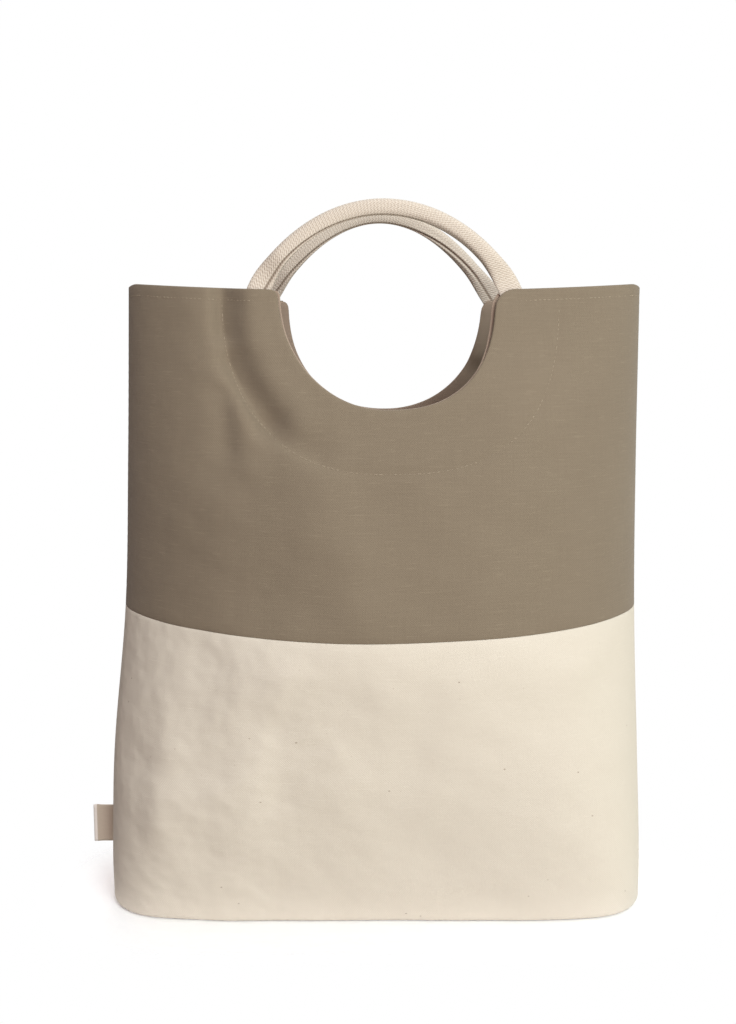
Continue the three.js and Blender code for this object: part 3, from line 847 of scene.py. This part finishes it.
def make_tab():
    line = tab_profile()
    way = np.gradient(line, axis=0)
    way /= np.linalg.norm(way, axis=1, keepdims=True)
    across = np.stack([way[:, 1], -way[:, 0]], -1)
    skins = [line + across * TAB_LEAF / 2, line - across * TAB_LEAF / 2]
    heights = np.linspace(TAB_LOW, TAB_LOW + TAB_TALL, TAB_ROWS)
    bends = TAB_BEND * np.sin(np.linspace(0, math.pi, TAB_ROWS))
    verts, uv = [], []
    run = np.concatenate([[0], np.cumsum(np.linalg.norm(np.diff(line, axis=0), axis=1))])
    for skin in skins:
        for z, bend in zip(heights, bends):
            for k, (x, y) in enumerate(skin):
                verts.append((x * MM, (y + bend * run[k] / run[-1]) * MM, z * MM))
                uv.append((run[k] * MM, z * MM))
    count = len(line)

    def at(skin, row, k):
        return (skin * TAB_ROWS + row) * count + k

    faces = []
    for row in range(TAB_ROWS - 1):
        for k in range(count - 1):
            faces.append((at(0, row, k), at(0, row, k + 1), at(0, row + 1, k + 1), at(0, row + 1, k)))
            faces.append((at(1, row, k), at(1, row + 1, k), at(1, row + 1, k + 1), at(1, row, k + 1)))
    for row in range(TAB_ROWS - 1):
        for k, flip in ((0, False), (count - 1, True)):
            quad = (at(0, row, k), at(0, row + 1, k), at(1, row + 1, k), at(1, row, k))
            faces.append(quad[::-1] if flip else quad)
    for row, flip in ((0, False), (TAB_ROWS - 1, True)):
        for k in range(count - 1):
            quad = (at(0, row, k), at(1, row, k), at(1, row, k + 1), at(0, row, k + 1))
            faces.append(quad[::-1] if flip else quad)
    return add_piece("side_tab_tape", verts, faces, uv), run[-1]


tab, tab_tape = make_tab()
print("tab", len(tab.data.polygons), "faces, %.0f mm of tape" % tab_tape)

# %% [markdown]
# Stitches are a thing that repeats along a path, so Geometry Nodes make them. A line of points on
# the cloth becomes a curve, points are set along it from stitch to stitch, and each gets a small long
# oval lying along the line, half sunk in the cloth, with its size and its turn a little at random.

# %% Stitch tree
STITCH_SIZES = {"Pitch": 3.0 * MM, "Length": 2.4 * MM, "Thread": 0.62 * MM}
STITCH_TURN = (0.06, 0.1, 0.1)  # radians that a stitch may turn either way
STITCH_SCALE = (0.35, 1.1)  # smallest and largest share of its size that shows
TURN_SEED, SCALE_SEED = 4, 9


def stitch_tree():
    tree = bpy.data.node_groups.new("stitch_run", "GeometryNodeTree")
    tree.interface.new_socket("Line", in_out="INPUT", socket_type="NodeSocketGeometry")
    for name in STITCH_SIZES:
        tree.interface.new_socket(name, in_out="INPUT", socket_type="NodeSocketFloat")
    tree.interface.new_socket("Finish", in_out="INPUT", socket_type="NodeSocketMaterial")
    tree.interface.new_socket("Stitches", in_out="OUTPUT", socket_type="NodeSocketGeometry")

    def add(kind, inputs=None, **settings):
        """Adds a node, links or sets its inputs and gives back its outputs."""
        node = tree.nodes.new(kind)
        for key, value in settings.items():
            setattr(node, key, value)
        for key, value in (inputs or {}).items():
            if isinstance(value, bpy.types.NodeSocket):
                tree.links.new(value, node.inputs[key])
            else:
                node.inputs[key].default_value = value
        return node.outputs

    given = add("NodeGroupInput")
    curve = add("GeometryNodeMeshToCurve", {"Mesh": given["Line"]})
    spots = {"Curve": curve["Curve"], "Length": given["Pitch"]}
    points = add("GeometryNodeCurveToPoints", spots, mode="LENGTH")
    lie = add("FunctionNodeAlignRotationToVector", {"Vector": points["Tangent"]}, axis="Z")
    spread = {0: tuple(-turn for turn in STITCH_TURN), 1: STITCH_TURN, "Seed": TURN_SEED}
    turn = add("FunctionNodeRandomValue", spread, data_type="FLOAT_VECTOR")
    turned = {"Rotation": lie["Rotation"], "Rotate By": turn[0]}
    tilt = add("FunctionNodeRotateRotation", turned, rotation_space="LOCAL")
    uneven = {"Min": STITCH_SCALE[0], "Max": STITCH_SCALE[1], "Seed": SCALE_SEED}
    scale = add("FunctionNodeRandomValue", uneven, data_type="FLOAT")
    sides = {"X": given["Thread"], "Y": given["Thread"], "Z": given["Length"]}
    whole = add("ShaderNodeCombineXYZ", sides)
    size = {"Vector": whole["Vector"], "Scale": scale["Value"]}
    shown = add("ShaderNodeVectorMath", size, operation="SCALE")
    bead = add("GeometryNodeMeshUVSphere", {"Segments": 7, "Rings": 6, "Radius": 0.5})
    each = {"Points": points["Points"], "Instance": bead["Mesh"]}
    each.update({"Rotation": tilt["Rotation"], "Scale": shown["Vector"]})
    placed = add("GeometryNodeInstanceOnPoints", each)
    real = add("GeometryNodeRealizeInstances", {"Geometry": placed["Instances"]})
    soft = add("GeometryNodeSetShadeSmooth", {0: real["Geometry"]})
    dressed = add("GeometryNodeSetMaterial", {"Geometry": soft[0], "Material": given["Finish"]})
    add("NodeGroupOutput", {"Stitches": dressed["Geometry"]})
    return tree


STITCH_TREE = stitch_tree()
print("stitch inputs:", ", ".join(s.name for s in STITCH_TREE.interface.items_tree))

# %% [markdown]
# Finishes are written as sums of values that change over the cloth. A small class wraps a socket, so
# that 1 - mask or weave * 0.2 adds its Math nodes by itself, and one method adds any other node from
# its type, its settings and its inputs.

# %% Shader helpers
class Tone:
    """A number that changes over a surface."""

    def __init__(self, finish, socket):
        self.finish, self.socket = finish, socket

    def _with(self, operation, other, swapped=False):
        first, second = (other, self) if swapped else (self, other)
        return self.finish.add("Math", {"operation": operation}, {0: first, 1: second})

    def __add__(self, other):
        return self._with("ADD", other)

    __radd__ = __add__

    def __sub__(self, other):
        return self._with("SUBTRACT", other)

    def __rsub__(self, other):
        return self._with("SUBTRACT", other, True)

    def __mul__(self, other):
        return self._with("MULTIPLY", other)

    __rmul__ = __mul__

    def sin(self):
        return self._with("SINE", 0.0)

    def power(self, other):
        return self._with("POWER", other)

    def at_most(self, other):
        return self._with("MINIMUM", other)

    def at_least(self, other):
        return self._with("MAXIMUM", other)

    def absolute(self):
        return self._with("ABSOLUTE", 0.0)

    def band(self, low, high):
        """0 below low, 1 above high, soft between; low may be the larger one."""
        settings = {"interpolation_type": "SMOOTHSTEP"}
        if low < high:
            return self.finish.add("MapRange", settings, {"Value": self, "From Min": low, "From Max": high})
        flip = {"Value": self, "From Min": high, "From Max": low, "To Min": 1.0, "To Max": 0.0}
        return self.finish.add("MapRange", settings, flip)


class Finish:
    """A material, or the world, and the one way to add nodes to it."""

    def __init__(self, owner, shader="Principled BSDF"):
        self.owner = owner
        owner.use_nodes = True
        self.tree = owner.node_tree
        self.shader = self.tree.nodes[shader]

    def add(self, kind, settings=None, inputs=None, output=0):
        node = self.tree.nodes.new("ShaderNode" + kind)
        for key, value in (settings or {}).items():
            setattr(node, key, value)
        for key, value in (inputs or {}).items():
            self.put(node.inputs[key], value)
        return Tone(self, node.outputs[output])

    def put(self, socket, value):
        if isinstance(value, Tone):
            self.tree.links.new(value.socket, socket)
        else:
            socket.default_value = value

    def set(self, **inputs):
        for key, value in inputs.items():
            self.put(self.shader.inputs[key.replace("_", " ")], value)

    def cloth(self):
        return self.add("UVMap", {"uv_map": "cloth"})

    def axes(self, vector):
        outputs = self.add("SeparateXYZ", None, {0: vector}).socket.node.outputs
        return [Tone(self, output) for output in outputs]

    def stretch(self, vector, x, y, z=1.0):
        return self.add("VectorMath", {"operation": "MULTIPLY"}, {0: vector, 1: (x, y, z)})

    def noise(self, vector, scale=1.0, detail=2.0, rough=0.5):
        inputs = {"Vector": vector, "Scale": scale, "Detail": detail, "Roughness": rough}
        return self.add("TexNoise", {"noise_dimensions": "3D"}, inputs)

    def mix(self, factor, first, second):
        return self.add("Mix", {"data_type": "RGBA"}, {0: factor, 6: first, 7: second}, 2)

    def bump(self, height, distance, strength=1.0):
        inputs = {"Height": height, "Distance": distance, "Strength": strength}
        return self.add("Bump", None, inputs)


def colour(red, green, blue):
    """A screen colour from 0 to 255, as the linear numbers that shaders use."""
    parts = [c / 255 for c in (red, green, blue)]
    return tuple(c / 12.92 if c <= 0.04045 else ((c + 0.055) / 1.055) ** 2.4 for c in parts) + (1.0,)


print("a middle grey of 128 is %.3f in a shader" % colour(128, 128, 128)[0])

# %% [markdown]
# Canvas is a plain weave of thick cotton yarn. Seen from the camera's distance the single threads
# only give a fine grain; what shows is that yarns are uneven. Thick places make short level streaks,
# and the unbleached cloth also keeps small dark specks of seed. The weave itself and the fine creases
# of cloth that has been folded, most of them at the left, go into the bump. The facings get a paler
# copy of the darker cloth: painted light, for the light that reaches the inside of the back panel
# through the cut-out. Each pattern is stretched to a number of cells in a metre, across the cloth and up
# it.

# %% Canvas finishes
YARN = 0.72 * MM  # from thread to thread
LIVELY = (40 * MM, -100 * MM)  # across the panel: calm from the first place, fully creased at the second
CALM = 0.3  # share of the creases that is left where it is calm
SEED_COLOUR = colour(112, 84, 58)
SEED_DRAW = (0.82, 0.86)  # a cell gets its speck as its random number rises from one to the other


def seeds(f, cloth, across, up, reach):
    """Specks in a few cells of the cloth; reach is where they fade, and where they are full."""
    cell = f.add("TexVoronoi", {"feature": "F1"}, {"Vector": f.stretch(cloth, across, up), "Scale": 1.0})
    draw = f.add("SeparateColor", None, {0: Tone(f, cell.socket.node.outputs["Color"])})
    return cell.band(*reach) * draw.band(*SEED_DRAW)


def canvas(name, dark, light, streaks, grain, creases, specked=False):
    f = Finish(bpy.data.materials.new(name))
    cloth = f.cloth()
    wander = f.noise(f.stretch(cloth, 60, 60), detail=1.0) * 1.6
    uneven = f.noise(f.stretch(cloth, 430, 520), detail=1.0)
    u, v, _ = f.axes(cloth)
    per = math.pi / YARN
    warp = (u * per + wander + uneven * 3.2).sin()
    weft = (v * per + wander - uneven * 2.6).sin()
    weave = (warp * weft) * 0.5 + 0.5
    level_yarn = f.noise(f.stretch(cloth, 38, 1050), detail=2.0, rough=0.6)
    upright_yarn = f.noise(f.stretch(cloth, 1050, 30), detail=2.0, rough=0.6)
    slub = f.noise(f.stretch(cloth, 90, 720), detail=0.0).band(0.66, 0.8)
    patch = f.noise(f.add("TexCoord", None, None, 3), scale=9.0, detail=3.0)
    fibre = f.noise(f.stretch(cloth, 2300, 2300), detail=1.0)
    tone = 0.5 + (level_yarn - 0.5) * streaks + (upright_yarn - 0.5) * (0.6 * streaks)
    tone = tone + (weave - 0.5) * grain + (fibre - 0.5) * grain
    tone = tone + (patch - 0.5) * 0.35 + slub * (0.5 * streaks)
    shade = f.mix(tone.at_least(0.0).at_most(1.0), dark, light)
    if specked:
        large = seeds(f, cloth, 105, 150, reach=(0.085, 0.045))
        small = seeds(f, cloth, 330, 260, reach=(0.09, 0.04))
        shade = f.mix((large * 0.6).at_least(small * 0.45), shade, SEED_COLOUR)
    crumple = f.noise(f.stretch(cloth, 62, 62), detail=1.0)
    lively = u.band(*LIVELY) * (1 - CALM) + CALM
    height = weave * 0.5 + level_yarn * 0.25 + upright_yarn * 0.2 + slub * 0.15 + fibre * 0.2
    height = height + crumple * lively * creases
    f.set(Base_Color=shade, Roughness=0.93, Normal=f.bump(height, 0.22 * MM, 0.8))
    f.set(Specular_IOR_Level=0.2, Sheen_Weight=0.12, Sheen_Roughness=0.5)
    return f.owner


dyed = {"streaks": 0.3, "grain": 0.28, "creases": 4.0}
plain = {"streaks": 0.16, "grain": 0.15, "creases": 9.5, "specked": True}
taupe = canvas("taupe_canvas", colour(114, 101, 85), colour(145, 132, 112), **dyed)
# A paler copy of the darker cloth for the facings: painted light, for the light that reaches the inside of
# the back panel through the cut-out.
facing_painted_light = canvas("taupe_painted_light", colour(144, 126, 110), colour(180, 161, 142), **dyed)
natural = canvas("natural_canvas", colour(204, 195, 178), colour(227, 219, 204), **plain)
print("canvas finishes:", taupe.name, facing_painted_light.name, natural.name)

# %% [markdown]
# Webbing is woven more coarsely than the canvas: short thick yarn cells in rows across the tape. The
# cells are shaped by two crossing waves, offset from row to row like bricks; the channels between them
# are painted darker, as painted shade, and so is the groove of the closing seam. The thread is matt and
# plied, and the tab is a finely ribbed tape, painted paler towards its fold.

# %% Webbing, thread and tape finishes
CELL_ALONG, CELL_ACROSS = 2.1 * MM, 1.55 * MM
SEAM_SHADE = (1.0 * MM, 0.35 * MM)  # from the closing seam: clean from the first, darkest to the second
# Colours of the painted shade in the closing seam's groove and of the tab's paler fold.
SEAM_SHADOW_COLOUR, FOLD_PALE_COLOUR = colour(118, 98, 80), colour(238, 232, 224)
TAPE_RIB = 0.62 * MM
# Distances from the tab's fold over which the tape is made paler.
TAB_PALE_REACH = (3.2 * MM, 2.4 * MM)  # from the tab's fold: clean from the first, fully pale up to the second


def webbing(name, dark, light):
    f = Finish(bpy.data.materials.new(name))
    cloth = f.cloth()
    wander = f.noise(f.stretch(cloth, 240, 240), detail=1.0)
    u, v, _ = f.axes(cloth)
    row = v * (2 * math.pi / CELL_ALONG)
    cell = (u * (math.pi / CELL_ACROSS) + row * 0.5 + wander * 1.4).sin().absolute()
    rib = ((u * (math.pi / CELL_ACROSS)).sin() * 0.9 + row + wander * 1.2).sin() * 0.5 + 0.5
    height = cell.power(0.7) * 0.6 + rib * 0.4
    fibre = f.noise(f.stretch(cloth, 1500, 900), detail=2.0)
    # The colour follows the cells' height: painted shade in the channels between them.
    tone = height * 0.75 + (fibre - 0.5) * 0.6 + 0.1
    shade = f.mix(tone.at_least(0.0).at_most(1.0), dark, light)
    # Painted shade along the groove of the closing seam.
    seam_shadow = u.absolute().band(*SEAM_SHADE)
    shade = f.mix(seam_shadow * 0.7, shade, SEAM_SHADOW_COLOUR)
    f.set(Base_Color=shade, Roughness=0.95, Normal=f.bump(height + fibre * 0.35, 0.4 * MM, 0.8))
    f.set(Specular_IOR_Level=0.15, Sheen_Weight=0.15, Sheen_Roughness=0.5)
    return f.owner


def thread(name, dark, light):
    f = Finish(bpy.data.materials.new(name))
    place_in = f.add("TexCoord", None, None, 3)
    ply = f.noise(f.stretch(place_in, 900, 900, 900), detail=1.0)
    shade = f.mix(ply, dark, light)
    f.set(Base_Color=shade, Roughness=0.8, Normal=f.bump(ply, 0.1 * MM, 0.6))
    f.set(Specular_IOR_Level=0.25)
    return f.owner


def tape(name, dark, light):
    f = Finish(bpy.data.materials.new(name))
    cloth = f.cloth()
    u, v, _ = f.axes(cloth)
    ribs = (v * (2 * math.pi / TAPE_RIB)).sin() * 0.5 + 0.5
    fibre = f.noise(f.stretch(cloth, 1400, 700), detail=2.0)
    tone = ribs * 0.3 + fibre * 0.5 + 0.1
    shade = f.mix(tone, dark, light)
    # The tape is made paler towards its fold.
    folded = (u - tab_tape / 2 * MM).absolute().band(*TAB_PALE_REACH)
    shade = f.mix(folded * 0.85, shade, FOLD_PALE_COLOUR)
    f.set(Base_Color=shade, Roughness=0.85, Normal=f.bump(ribs + fibre * 0.5, 0.15 * MM, 0.7))
    f.set(Specular_IOR_Level=0.2)
    return f.owner


cotton = webbing("cotton_webbing", colour(190, 174, 155), colour(229, 219, 205))
pale_thread = thread("stitch_thread", colour(146, 132, 112), colour(172, 159, 139))
plain_tape = tape("label_tape", colour(174, 161, 143), colour(203, 191, 174))
print("finishes:", len(bpy.data.materials))

# %% [markdown]
# Now the lines of stitches: the hem from each handle end to the side seam and the line that holds
# each facing. Every path lies on the outer face of its cloth.

# %% Stitch lines
HEM_ENDS = {FRONT: ((-163, -78), (88, 172)), BACK: ((-163, -80), (92, 172))}  # x of each run's ends
STITCH_LIFT = 0.02  # middle of the thread above the cloth
PATH_STEP = 1.0


def hem_path(side, x0, x1):
    run = brim_run(side, x0, x1)
    return flat_points(side, run[:, 0], run[:, 1] - HEM_DROP)


def stitch(name, side, flat_paths, finish):
    """Stitches along several lines on one side, as one plain mesh."""
    verts, edges = [], []
    for path in flat_paths:
        run = lay_panel(side)(resample(path, PATH_STEP), -STITCH_LIFT) * MM
        first = len(verts)
        verts += [tuple(p) for p in run]
        edges += [(first + k, first + k + 1) for k in range(len(run) - 1)]
    mesh = bpy.data.meshes.new(name + "_line")
    mesh.from_pydata(verts, edges, [])
    line = bpy.data.objects.new(name + "_line", mesh)
    bpy.context.collection.objects.link(line)
    modifier = line.modifiers.new("stitches", "NODES")
    modifier.node_group = STITCH_TREE
    values = {"Finish": finish, **STITCH_SIZES}
    for socket in STITCH_TREE.interface.items_tree:
        if socket.name in values:
            modifier[socket.identifier] = values[socket.name]
    seen = bpy.context.evaluated_depsgraph_get()
    sewn = bpy.data.meshes.new_from_object(line.evaluated_get(seen))
    sewn.name = name
    bpy.data.objects.remove(line)
    piece = bpy.data.objects.new(name, sewn)
    bpy.context.collection.objects.link(piece)
    return piece


stitches = {}
for side, name in ((FRONT, "stitches_front"), (BACK, "stitches_back")):
    paths = [facing_path(side)] + [hem_path(side, *ends) for ends in HEM_ENDS[side]]
    stitches[side] = stitch(name, side, paths, pale_thread)
    print(name, len(stitches[side].data.polygons), "faces")

# %% [markdown]
# Each piece gets its finish, stands for its solid and rides on the one body. For each cloth piece the
# flat size it was cut to, with its seam allowances, and its area are printed.

# %% Finishes and the frame
SEAM_ALLOWANCE = 10 * MM


def dress(piece, material, slot, *nodes):
    piece.data.materials.clear()
    piece.data.materials.append(material)
    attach(piece, "root")
    if nodes:
        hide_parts(*nodes)


def cut_size(piece, side):
    """Flat width and length that a piece is cut from, with its seam allowances."""
    spots = np.empty(len(piece.data.uv_layers["cloth"].data) * 2, np.float32)
    piece.data.uv_layers["cloth"].data.foreach_get("uv", spots)
    spots = spots.reshape(-1, 2)
    if side:
        spots[:, 0] *= np.interp(spots[:, 1] / MM, LEVELS, ROUND[side]["length"]) / FLAT_HALF
    return tuple(round(float(size) + 2 * SEAM_ALLOWANCE, 3) for size in spots.max(0) - spots.min(0))


def declare(piece, side=None):
    """Prints a cloth piece's cut size and area; one that goes round a side is measured along the way round.
    """
    flat, area = cut_size(piece, side), round(cloth_area(piece), 4)
    print("%s cut %.0f x %.0f mm, %.4f m2" % (piece.name, flat[0] * 1000, flat[1] * 1000, area))


dress(base, natural, "natural_canvas", "base")
for side, word in ((FRONT, "front"), (BACK, "back")):
    dress(lower[side], natural, "natural_canvas", "lower_" + word)
    dress(upper[side], taupe, "taupe_canvas", "upper_" + word)
    # The facings take the paler, painted-light copy of the darker cloth.
    dress(facings[side], facing_painted_light, "taupe_canvas", "facing_" + word)
    dress(handles[side], cotton, "cotton_webbing", "handle_" + word)
    dress(stitches[side], pale_thread, "taupe_canvas")
dress(tab, plain_tape, "label_tape", "side_label")
declare(base)
for side in (FRONT, BACK):
    declare(lower[side], side)
    declare(upper[side], side)
    declare(facings[side], side)
declare(tab)

# %% [markdown]
# A plain pale floor, which fades out a little way from the bag, so that only the shadow close to the
# base is left on a white ground.

# %% Floor
FLOOR_REACH = 0.55
FLOOR_CORE = 0.125  # half the length of the line under the bag that distances are taken from
FLOOR_FADE = (0.12, 0.066)  # distances from it: the floor is gone from the first, whole up to the second
FLOOR_GLOW = (0.8, 0.9, 1.0, 1.0), 0.08  # colour and strength
floor_mesh = bpy.data.meshes.new("studio_floor")
corners = [(-FLOOR_REACH, -FLOOR_REACH, 0), (FLOOR_REACH, -FLOOR_REACH, 0)]
corners += [(FLOOR_REACH, FLOOR_REACH, 0), (-FLOOR_REACH, FLOOR_REACH, 0)]
floor_mesh.from_pydata(corners, [], [(0, 1, 2, 3)])
floor = bpy.data.objects.new("studio_floor", floor_mesh)
bpy.context.collection.objects.link(floor)
paper = Finish(bpy.data.materials.new("studio_floor"))
spot = paper.add("TexCoord", None, None, 3)
across, along, _ = paper.axes(spot)
beyond = (across.absolute() - FLOOR_CORE).at_least(0.0)
away = (beyond * beyond + along * along).power(0.5)
tooth = paper.mix(paper.noise(spot, scale=30.0), colour(249, 249, 249), colour(252, 252, 252))
paper.set(Emission_Color=FLOOR_GLOW[0], Emission_Strength=FLOOR_GLOW[1])
paper.set(Base_Color=tooth, Roughness=0.9, Alpha=away.band(*FLOOR_FADE))
floor_mesh.materials.append(paper.owner)
print("floor fades out between %.3f and %.3f m" % FLOOR_FADE[::-1])

# %% [markdown]
# Soft light. The photograph has one large soft light high on the right and a weaker, warmer one in
# front, so the left side of the bag falls off gently, and pale ground on the right throws some light
# back. Light from above reaches into the mouth, and a light behind shows the back when the bag is seen
# from there. The surround is bright only for the camera, as a white studio wall out of the light would
# be.

# %% Light
SOFTBOX_SIZE = (0.9, 1.2)
LIGHT_AIM = (0, 0, 0.24)  # the middle of the bag
SKY_STRENGTH, SKY_SPREAD, SKY_TILT = 2.0, 110, (-8, 10, 0)  # of the light from above, degrees
WALLS = (0.17, 0.13, 0.12, 1.0), (0.1, 0.1, 0.1, 1.0)  # light from the walls: left, right
GROUND = (0.08, 0.06, 0.055, 1.0), (1.2, 1.17, 1.03, 1.0)  # light thrown back by the ground: left, right
HORIZON = (0.1, -0.3)  # rise of a direction: walls from the first up, ground from the second down
WHITE = (1.0, 1.0, 1.0, 1.0)


def softbox(name, spot, watts, tint):
    light = bpy.data.lights.new(name, "AREA")
    light.shape = "RECTANGLE"
    light.size, light.size_y = SOFTBOX_SIZE
    light.energy, light.color = watts, tint
    lamp = bpy.data.objects.new(name, light)
    lamp.location = spot
    lamp.rotation_euler = (Vector(LIGHT_AIM) - Vector(spot)).to_track_quat("-Z", "Y").to_euler()
    bpy.context.collection.objects.link(lamp)


softbox("key_right", spot=(0.85, -1.85, 1.4), watts=27.5, tint=(0.83, 1.0, 1.0))
softbox("front_fill", spot=(0.3, -2.0, 0.8), watts=18.0, tint=(1.0, 0.8, 0.85))
softbox("back_fill", spot=(-0.4, 2.0, 0.9), watts=16.0, tint=(1.0, 0.92, 0.92))

overhead = bpy.data.lights.new("overhead", "SUN")
overhead.energy, overhead.angle = SKY_STRENGTH, math.radians(SKY_SPREAD)
overhead_lamp = bpy.data.objects.new("overhead", overhead)
overhead_lamp.rotation_euler = [math.radians(tilt) for tilt in SKY_TILT]
bpy.context.collection.objects.link(overhead_lamp)

world = bpy.data.worlds.new("white_studio")
bpy.context.scene.world = world
air = Finish(world, "Background")
to_right, _, up = air.axes(air.add("TexCoord"))
side_share = to_right.band(-1.0, 1.0)
glow = air.mix(up.band(*HORIZON), air.mix(side_share, *WALLS), air.mix(side_share, *GROUND))
seen = air.add("LightPath", None, None, "Is Camera Ray")
air.set(Color=air.mix(seen, glow, WHITE))
bpy.context.scene.view_settings.view_transform = "Standard"
print("lights:", len(bpy.data.lights))
